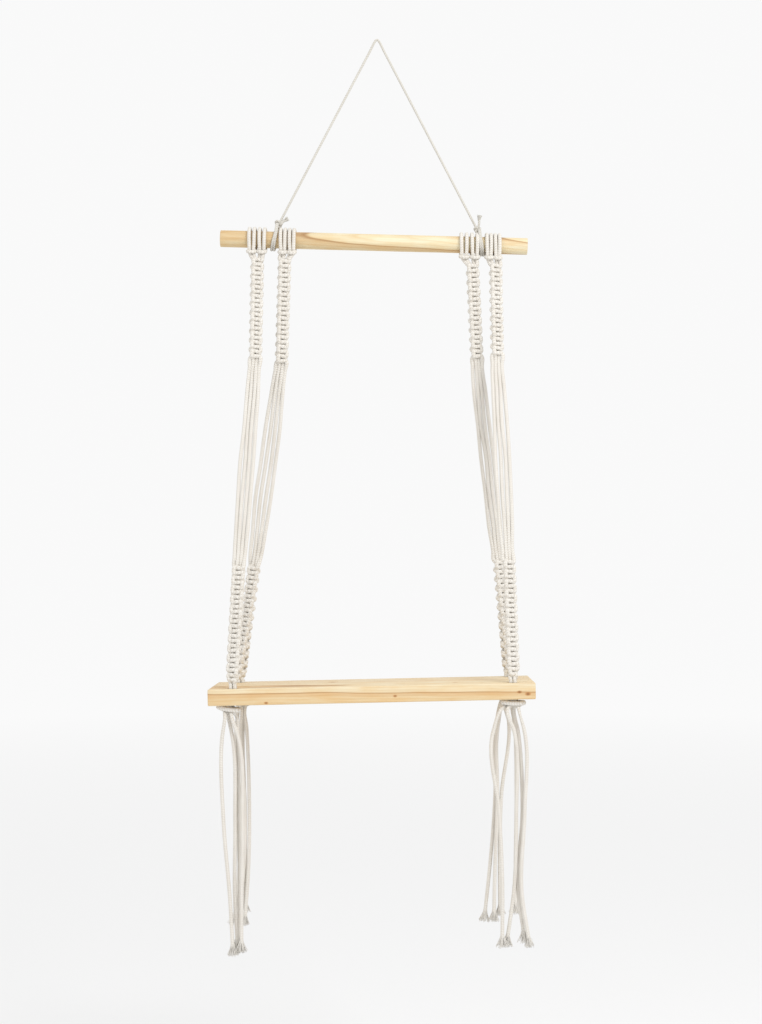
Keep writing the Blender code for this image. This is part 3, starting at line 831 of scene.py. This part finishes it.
# %% Dowel
EASE = 0.5 * MM
ROD_SIDES = 96
ROD_RINGS = 60
WEAR = 0.006  # how far the dowel's radius wavers, as a share


def eased_stations(length, ease, count):
    """Places along a length, closer at its ends, and how far the section is drawn in at each: at a
    distance c from the end by ease - sqrt(ease^2 - (ease - c)^2), a quarter circle."""
    corner = np.array((0.0, 0.12, 0.45, 1.0)) * ease
    inset = ease - np.sqrt(ease**2 - (ease - corner) ** 2)
    middle = np.linspace(-length / 2 + ease, length / 2 - ease, count)[1:-1]
    along = np.concatenate([corner - length / 2, middle, length / 2 - corner[::-1]])
    return along, np.concatenate([inset, np.zeros(count - 2), inset[::-1]])


def carried_section(along, section):
    """A section in Y and Z, an array of (station, side, 2), carried along X, as a Surface."""
    x = np.broadcast_to(along[:, None, None], (*section.shape[:2], 1))
    points = np.concatenate([x, section], -1)
    return Surface(points, np.zeros(section.shape[:2]), along - along[0])


along, inset = eased_stations(ROD_LENGTH, EASE, ROD_RINGS)
around = np.arange(ROD_SIDES) * 2 * np.pi / ROD_SIDES
worn = 1 + WEAR * np.sin(41 * along + 1.0) * np.sin(2 * np.pi * along / 0.21)
radius = ROD_R * worn - inset
circle = np.stack([np.cos(around), np.sin(around)], -1)
surface = carried_section(along, radius[:, None, None] * circle)
dowel = make_piece("dowel", [surface._replace(points=tilted(surface.points, ROD_CENTRE, ROD_TILT))])

# %% [markdown]
# ## The board
#
# A planed board has flat faces and edges that are just rounded. It is carried along its length like the
# dowel, but its section is a rectangle with round corners, so all twelve edges come out alike.

# %% Board
CORNER = 1.2 * MM
BOARD_RINGS = 50


def rounded_rectangle(width, height, corner, inset):
    """A rectangle's outline with round corners, anticlockwise, and one row for each inset. A corner's
    points are its centre + corner * (cos, sin), over a quarter turn each."""
    quarter = np.linspace(0.0, np.pi / 2, 5)
    turns = np.concatenate([quarter + k * np.pi / 2 for k in range(4)])
    signs = np.repeat(((1, 1), (-1, 1), (-1, -1), (1, -1)), 5, axis=0)
    half = np.array((width, height)) / 2 - corner
    outline = signs * half + corner * np.stack([np.cos(turns), np.sin(turns)], -1)
    return outline[None] - inset[:, None, None] * np.sign(outline)[None]


along, inset = eased_stations(BOARD_SIZE[0], CORNER, BOARD_RINGS)
section = rounded_rectangle(BOARD_SIZE[1], BOARD_SIZE[2], CORNER, inset)
surface = carried_section(along, section)
board = make_piece("board", [surface._replace(points=tilted(surface.points, BOARD_CENTRE, BOARD_TILT))])

# %% [markdown]
# ## The holes
#
# Each corner has a drilled hole, and sandpaper has taken its edge off. The holes could be built into the
# grid of faces, but a Boolean modifier cuts them as a drill does. Each drill is wider at both ends, so
# one cut makes the hole and its eased edges.

# %% Holes
HOLE_SIDES = 48
HOLE_EASE = 0.5 * MM
SHARP = math.radians(35)


def turned(profile, sides, centre, tilt):
    """A profile of (radius, height) rows turned round the Z axis, tilted and moved. A point is
    (radius cos(angle), radius sin(angle), height)."""
    angle = -np.arange(sides) * 2 * np.pi / sides
    radius, height = profile[:, 0, None], profile[:, 1, None]
    points = np.stack([radius * np.cos(angle), radius * np.sin(angle), height + 0 * angle], -1)
    return Surface(tilted(points, centre, tilt), np.zeros(points.shape[:2]), profile[:, 1])


drill_profile = np.array((
    (HOLE_R + 3 * HOLE_EASE, HALF_BOARD + 2 * HOLE_EASE), (HOLE_R, HALF_BOARD - HOLE_EASE),
    (HOLE_R, HOLE_EASE - HALF_BOARD), (HOLE_R + 3 * HOLE_EASE, -HALF_BOARD - 2 * HOLE_EASE),
))
for arm in ARMS:
    centre = board_point(arm.hole_x, HOLE_Y[arm.row], 0.0)
    drill = make_piece(f"drill_{arm.row}_{arm.side}", [turned(drill_profile, HOLE_SIDES, centre, BOARD_TILT)])
    hole = board.modifiers.new(drill.name, "BOOLEAN")
    hole.operation = "DIFFERENCE"
    hole.object = drill
bpy.context.view_layer.update()
cut = bpy.data.meshes.new_from_object(board.evaluated_get(bpy.context.evaluated_depsgraph_get()))
board.modifiers.clear()
board.data = cut
for arm in ARMS:
    bpy.data.objects.remove(bpy.data.objects[f"drill_{arm.row}_{arm.side}"], do_unlink=True)
board.data.shade_smooth()
board.data.set_sharp_from_angle(angle=SHARP)
print("board faces", len(board.data.polygons))

# %% [markdown]
# ## Node helpers
#
# A material is a small network of nodes. These helpers keep it readable: each adds one kind of node, fills
# its inputs, and gives back the output that the next one needs. The same could be clicked together in the
# node editor, but a script can be read, repeated and changed.

# %% Node helpers
WHITE = (1.0, 1.0, 1.0)


def add_node(tree, kind, inputs=None, **settings):
    """A node of a kind. A value in inputs is a number or colour, or another node's output to link."""
    made = tree.nodes.new(kind)
    for name, value in settings.items():
        setattr(made, name, value)
    for key, value in (inputs or {}).items():
        if isinstance(value, bpy.types.NodeSocket):
            tree.links.new(value, made.inputs[key])
        else:
            made.inputs[key].default_value = value
    return made


def math_node(tree, operation, first, second=0.0):
    """One operation on two numbers, or on the first alone where it needs only one."""
    return add_node(tree, "ShaderNodeMath", {0: first, 1: second}, operation=operation).outputs["Value"]


def scaled(tree, vector, factors):
    """A vector with each of its parts multiplied."""
    return add_node(tree, "ShaderNodeVectorMath", {0: vector, 1: factors}, operation="MULTIPLY").outputs[0]


def vector_length(tree, vector):
    """A vector's length, the root of the sum of its parts' squares."""
    return add_node(tree, "ShaderNodeVectorMath", {0: vector}, operation="LENGTH").outputs["Value"]


def ramp(tree, factor, stops):
    """A colour ramp with (place, colour) stops."""
    made = add_node(tree, "ShaderNodeValToRGB", {"Fac": factor})
    elements = made.color_ramp.elements
    while len(elements) < len(stops):
        elements.new(0.5)
    for element, (place, colour) in zip(elements, stops):
        element.position = place
        element.color = (*colour, 1.0)
    return made.outputs["Color"]


def object_place(tree):
    """Where a point lies in the piece's own axes, which are the world's here."""
    return add_node(tree, "ShaderNodeTexCoord").outputs["Object"]


def new_material(name, roughness, **constants):
    """A material and its shader. The constants go on the shader's own sockets."""
    material = bpy.data.materials.new(name)
    material.use_nodes = True
    shader = material.node_tree.nodes["Principled BSDF"]
    shader.inputs["Roughness"].default_value = roughness
    for key, value in constants.items():
        shader.inputs[key.replace("_", " ")].default_value = value
    return material, material.node_tree, shader


floor_paint, floor_tree, floor_shader = new_material("floor paint", 1.0, Specular_IOR_Level=0.0)
print("a plain material has", len(floor_tree.nodes), "nodes")

# %% [markdown]
# ## Floor paint
#
# The simplest material comes first: a matt paint that is pale grey below the object and white far away, so
# the floor runs into the white background without a line. The grey below the object is painted shade: it
# holds the floor down where the lamps light it most. The grey depends only on the distance from the
# middle, so one ramp over that distance is enough.

# %% Floor paint
# Painted shade: the floor is painted grey below the object, where the lamps light it most.
FLOOR_GREY = (0.86, 0.86, 0.86)
FADE_DISTANCE = 6.0

away = vector_length(floor_tree, scaled(floor_tree, object_place(floor_tree), (1.0, 1.0, 0.0)))
far_share = math_node(floor_tree, "DIVIDE", away, FADE_DISTANCE)
floor_colour = ramp(floor_tree, far_share, ((0.1, FLOOR_GREY), (1.0, WHITE)))
floor_tree.links.new(floor_colour, floor_shader.inputs["Base Color"])
floor.data.materials.append(floor_paint)
print("floor paint has", len(floor_tree.nodes), "nodes")

# %% [markdown]
# ## Cotton and twine
#
# Undyed cotton is a warm off-white. The finest relief is drawn here, on the piece's own map: each stitch
# of the braid is a little pillow, and its fibres are a noise that is stretched along the cord. The
# valleys between stitches and the deep parts of the grooves are painted darker, from the surface's own
# groove values, as painted shade in the creases, and broad, faint patches keep one strand from looking
# like the next. A weak sheen stands for the fuzz. A photograph of cord would give all this at once, but
# wouldn't follow the stitches that are in the surface.

# %% Stitches on the map
def weighted_sum(tree, *terms):
    """The sum of value * weight over the terms."""
    value, weight = terms[0]
    total = math_node(tree, "MULTIPLY", value, weight)
    for value, weight in terms[1:]:
        total = math_node(tree, "ADD", total, math_node(tree, "MULTIPLY", value, weight))
    return total


def noise(tree, vector, scale, detail, roughness=0.5):
    """Smooth noise from 0 to 1, with about this many patches to a unit of the vector."""
    inputs = {"Vector": vector, "Scale": scale, "Detail": detail, "Roughness": roughness}
    return add_node(tree, "ShaderNodeTexNoise", inputs).outputs["Fac"]


def raised(tree, shader, height, strength, distance):
    """Bump from a height of about 0 to 1, which stands for this distance."""
    bump = add_node(tree, "ShaderNodeBump", {"Height": height, "Strength": strength, "Distance": distance})
    tree.links.new(bump.outputs["Normal"], shader.inputs["Normal"])


def hump(tree, value, power):
    """|sin(pi * value)| to a power, which is 0 at whole numbers and 1 half-way between them."""
    wave = math_node(tree, "SINE", math_node(tree, "MULTIPLY", value, math.pi))
    return math_node(tree, "POWER", math_node(tree, "ABSOLUTE", wave), power)


def stitch_relief(tree, mapped, kind):
    """Pillows where the braid's surface has stitches: |sin(pi (along / lay + zig / 2))|^0.6 times
    |sin(pi column)|^0.5, where zig goes from 0 to 1 over one column and back over the next."""
    parts = add_node(tree, "ShaderNodeSeparateXYZ", {"Vector": mapped})
    column = math_node(tree, "MULTIPLY", parts.outputs["X"], kind.count)
    along = math_node(tree, "DIVIDE", parts.outputs["Y"], kind.lay)
    zig = math_node(tree, "PINGPONG", column, 1.0)
    phase = math_node(tree, "ADD", along, math_node(tree, "MULTIPLY", zig, 0.5))
    return math_node(tree, "MULTIPLY", hump(tree, phase, 0.6), hump(tree, column, 0.5))


def braid_only(tree, relief):
    """The relief on braided cord, and a flat 0.5 on the yarns of the same piece. In the colour that 0.5
    paints the yarns a little darker, as painted shade among them.
    """
    stitched = add_node(tree, "ShaderNodeAttribute", attribute_name="stitched").outputs["Fac"]
    plain = math_node(tree, "SUBTRACT", 1.0, stitched)
    # Painted shade: the flat 0.5 paints the yarns a little darker, as shade among them.
    return math_node(tree, "MAXIMUM", relief, math_node(tree, "MULTIPLY", plain, 0.5))


print("a stitch covers", round(COTTON_CORD.lay / MM, 1), "mm along the cord")

# %% [markdown]
# ## One recipe for both cords
#
# The cotton cord and the twine differ in colour, in pattern and in how their fibres slant, so one function
# makes both. It only mixes between a pale colour and a darker shade of it. What lies deep in a groove or
# between stitches is nearer to the shade as painted shade in the creases, and what lies between fibres is
# nearer to it as the cord's own tone. A mix of two colours can't turn to an odd one in between.

# %% Cotton and twine
FIBRE_SCALE = (5200.0, 500.0, 1.0)  # fibres to a metre, round the cord and along it
PATCH_SCALE = 45.0


def cord_material(name, pale, shade, kind):
    """A soft, matt cord. Its colour goes from pale to shade with 0.35 groove^2 + 0.22 (1 - relief)
    + 0.26 patches + 0.16 fibres. The groove term, and on braided cord the relief term, are painted shade
    in the creases; the patches and fibres are the cord's own tone. On laid twine the fibres slant with the
    plies."""
    look = {"Sheen_Weight": 0.2, "Sheen_Roughness": 0.5, "Specular_IOR_Level": 0.2}
    material, tree, shader = new_material(name, 0.9, **look)
    girth = 2 * math.pi * kind.radius
    slant = 0.0 if kind.make is braided else math.atan2(girth, kind.lay)
    mapped = add_node(tree, "ShaderNodeUVMap", uv_map="cord map").outputs["UV"]
    slanting = add_node(tree, "ShaderNodeMapping", {
        "Vector": scaled(tree, mapped, (girth, 1.0, 1.0)),
        "Rotation": (0.0, 0.0, slant),
        "Scale": FIBRE_SCALE,
    }).outputs["Vector"]
    fibres = noise(tree, slanting, 1.0, 3.0)
    patches = noise(tree, object_place(tree), PATCH_SCALE, 4.0, 0.6)
    groove = add_node(tree, "ShaderNodeAttribute", attribute_name="groove").outputs["Fac"]
    relief = fibres
    if kind.make is braided:
        relief = braid_only(tree, stitch_relief(tree, mapped, kind))
    # Painted shade in the creases: deep in a groove and, on braided cord, between stitches the colour is
    # painted nearer to the shade.
    relief_shade_and_tone = math_node(tree, "SUBTRACT", 1.0, relief)
    groove_shade = math_node(tree, "POWER", groove, 2.0)
    shade_and_tone = weighted_sum(tree, (groove_shade, 0.35), (relief_shade_and_tone, 0.22), (patches, 0.26), (fibres, 0.16))
    tree.links.new(ramp(tree, shade_and_tone, ((0.18, pale), (1.0, shade))), shader.inputs["Base Color"])
    raised(tree, shader, weighted_sum(tree, (relief, 1.0), (fibres, 0.5)), 0.6, 0.25 * MM)
    return material


cotton = cord_material("cotton cord", (0.78, 0.757, 0.712), (0.44, 0.37, 0.28), COTTON_CORD)
twine = cord_material("hanger twine", (0.68, 0.66, 0.61), (0.34, 0.30, 0.24), HANGER_TWINE)
print("cord materials", cotton.name, "and", twine.name)

# %% [markdown]
# ## Pine
#
# Pine is laid down in rings round the tree's middle. So the colour is worked out in space: the distance
# from an axis that runs along the wood, a little wavy, gives the ring, and each ring goes slowly from
# pale early wood to a thin brown line of late wood. The same rule then draws long lines on the faces
# and arcs on the cut ends, which a flat picture of wood wouldn't. Outside a certain ring the wood is
# paler, as sapwood is. Where a branch grew through, there is a small brown knot.

# %% Rings and knots
Pine = namedtuple("Pine", "centre tilt heart lean ring waver sapwood pale warm line core knots")
Knot = namedtuple("Knot", "place size squeeze")
KNOT_HEART = (0.42, 0.24, 0.13)
KNOT_RIM = (0.80, 0.58, 0.40)


def apart(tree, first, second):
    """The first vector less the second."""
    return add_node(tree, "ShaderNodeVectorMath", {0: first, 1: second}, operation="SUBTRACT").outputs[0]


def tinted(tree, share, colour, tint):
    """A colour times the share of a tint: colour * (1 - share + share * tint)."""
    inputs = {0: share, 6: colour, 7: tint}
    return add_node(tree, "ShaderNodeMix", inputs, data_type="RGBA", blend_type="MULTIPLY").outputs[2]


def pine_rings(tree, lying, wood):
    """How many rings out a place lies: its distance from the heart's axis, which leans a little, plus
    a slow noise, in rings."""
    slow = noise(tree, scaled(tree, lying, (7.0, 26.0, 26.0)), 1.0, 2.5, 0.45)
    leaning = add_node(tree, "ShaderNodeMapping", {"Vector": lying, "Rotation": (0.0, wood.lean, 0.0)})
    away = apart(tree, leaning.outputs["Vector"], (0.0, *wood.heart))
    radius = vector_length(tree, scaled(tree, away, (0.0, 1.0, 1.0)))
    return math_node(tree, "DIVIDE", weighted_sum(tree, (radius, 1.0), (slow, wood.waver)), wood.ring)


def with_knot(tree, colour, lying, knot):
    """A colour with a branch's mark: brown at its place, fading out at its size. The distance from it
    is measured after each direction's squeeze."""
    away = scaled(tree, apart(tree, lying, knot.place), knot.squeeze)
    share = math_node(tree, "DIVIDE", vector_length(tree, away), knot.size)
    mark = ramp(tree, share, ((0.30, KNOT_HEART), (0.62, KNOT_RIM), (1.0, WHITE)))
    return tinted(tree, 0.85, colour, mark)


print("a knot goes from", KNOT_HEART, "to", KNOT_RIM)

# %% [markdown]
# ## Planed pine
#
# The plane leaves a smooth face that shows more than the rings: fainter lines between them, dark fibres
# and broad, pale stains. Each is laid over the last as a tint, like thin coats of paint, which is easy to
# weaken or leave out on its own. Fibres and stains are noise that is stretched along the wood.

# %% Planed pine
BETWEEN_LINES = (0.86, 0.72, 0.56)  # four fainter lines to a ring
FIBRE_DARK = (0.78, 0.74, 0.68)
WOOD_FIBRE_SCALE = (16.0, 1100.0, 1100.0)  # fibres to a metre, along the wood and across it
STAIN = (0.97, 0.87, 0.74)
SAPWOOD_FADE = (-0.06, 0.25)  # where the core's tint ends, in rings from the sapwood's first


def pine_material(name, wood):
    """Planed pine: rings, core, fainter lines, fibres, broad stains and knots are laid over each other
    as tints, and the relief follows the rings and the fibres."""
    material, tree, shader = new_material(name, 0.6, Specular_IOR_Level=0.35)
    lying = add_node(tree, "ShaderNodeMapping", {
        "Vector": apart(tree, object_place(tree), tuple(wood.centre)), "Rotation": (0.0, -wood.tilt, 0.0),
    }).outputs["Vector"]
    age = pine_rings(tree, lying, wood)
    ring = math_node(tree, "FRACT", age)
    colour = ramp(tree, ring, (
        (0.0, wood.pale), (0.55, wood.pale), (0.90, wood.warm), (0.965, wood.line), (0.99, wood.pale),
    ))
    inner = add_node(tree, "ShaderNodeMapRange", {
        "Value": age, "From Min": wood.sapwood + SAPWOOD_FADE[0], "From Max": wood.sapwood + SAPWOOD_FADE[1],
        "To Min": 1.0, "To Max": 0.0,
    }).outputs["Result"]
    colour = tinted(tree, inner, colour, (*wood.core, 1.0))
    between = math_node(tree, "FRACT", math_node(tree, "MULTIPLY", age, 4.0))
    lines = ramp(tree, between, ((0.0, WHITE), (0.55, WHITE), (0.92, BETWEEN_LINES), (1.0, WHITE)))
    colour = tinted(tree, 0.45, colour, lines)
    fibres = noise(tree, scaled(tree, lying, WOOD_FIBRE_SCALE), 1.0, 3.0)
    colour = tinted(tree, 0.5, colour, ramp(tree, fibres, ((0.3, FIBRE_DARK), (0.7, WHITE))))
    broad = noise(tree, scaled(tree, lying, (24.0, 70.0, 160.0)), 1.0, 3.0, 0.6)
    colour = tinted(tree, 0.9, colour, ramp(tree, broad, ((0.36, STAIN), (0.62, WHITE))))
    for knot in wood.knots:
        colour = with_knot(tree, colour, lying, knot)
    tree.links.new(colour, shader.inputs["Base Color"])
    raised(tree, shader, weighted_sum(tree, (ring, -0.4), (fibres, 1.0)), 0.35, 0.2 * MM)
    return material


print("wood fibres are about", round(WOOD_FIBRE_SCALE[1] / WOOD_FIBRE_SCALE[0]), "times as long as wide")

# %% [markdown]
# ## The board's pine and the dowel's
#
# Two sawn pieces of the same tree look different, because each lies elsewhere in the trunk. Here that is
# where the rings' middle lies, how wide the rings are and where the sapwood starts. The board's knots are
# placed one by one, small ones on its front edge and two broader ones on its faces.

# %% Board's and dowel's pine
FRONT_FACE = -BOARD_SIZE[1] / 2
EDGE_KNOT = (0.6, 0.5, 1.0)
FACE_KNOT = (0.75, 1.0, 0.15)
board_pine = pine_material("board pine", Pine(
    centre=BOARD_CENTRE, tilt=BOARD_TILT, heart=(-30 * MM, -63 * MM), lean=math.radians(-0.9),
    ring=12.5 * MM, waver=7 * MM, sapwood=5.95,
    pale=(0.79, 0.69, 0.49), warm=(0.72, 0.56, 0.36), line=(0.44, 0.27, 0.14), core=(0.95, 0.86, 0.74),
    knots=(
        Knot((-0.1152, FRONT_FACE, -0.0067), 1.8 * MM, EDGE_KNOT),
        Knot((0.0255, FRONT_FACE, -0.0022), 1.7 * MM, EDGE_KNOT),
        Knot((0.1612, FRONT_FACE, -0.0007), 2.0 * MM, EDGE_KNOT),
        Knot((0.1704, FRONT_FACE, -0.0031), 2.4 * MM, EDGE_KNOT),
        Knot((-0.0450, 0.018, 0.0), 5.5 * MM, FACE_KNOT),
        Knot((0.0920, -0.031, 0.0), 3.6 * MM, FACE_KNOT),
    ),
))
dowel_pine = pine_material("dowel pine", Pine(
    centre=ROD_CENTRE, tilt=ROD_TILT, heart=(14 * MM, -19.6 * MM), lean=math.radians(-4.5),
    ring=16 * MM, waver=7 * MM, sapwood=1.95,
    pale=(0.80, 0.73, 0.53), warm=(0.72, 0.60, 0.40), line=(0.48, 0.33, 0.19), core=(0.90, 0.82, 0.72),
    knots=(),
))
print("pine materials", board_pine.name, "and", dowel_pine.name)

# %% [markdown]
# ## Put the pieces on the frame
#
# Each piece takes the place of its plain solid, which is hidden, gets its material, and rides on the one
# body that the model has. One short function does this for all eleven, so that none is forgotten.

# %% Finish
def hand_over(piece, node, material):
    """Gives a piece its material, hides the solid of the frame whose place it takes, and hangs it on the
    body.
    """
    piece.data.materials.clear()
    piece.data.materials.append(material)
    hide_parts(node)
    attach(piece, "root")


hand_over(dowel, "hanging_rod", dowel_pine)
hand_over(board, "shelf_board", board_pine)
hand_over(hanger, "hanger_cord", twine)
for arm in ARMS:
    hand_over(arm_pieces[arm], f"arm_{arm.row}_{arm.side}", cotton)
    hand_over(tassel_pieces[arm], f"tassel_{arm.row}_{arm.side}", cotton)
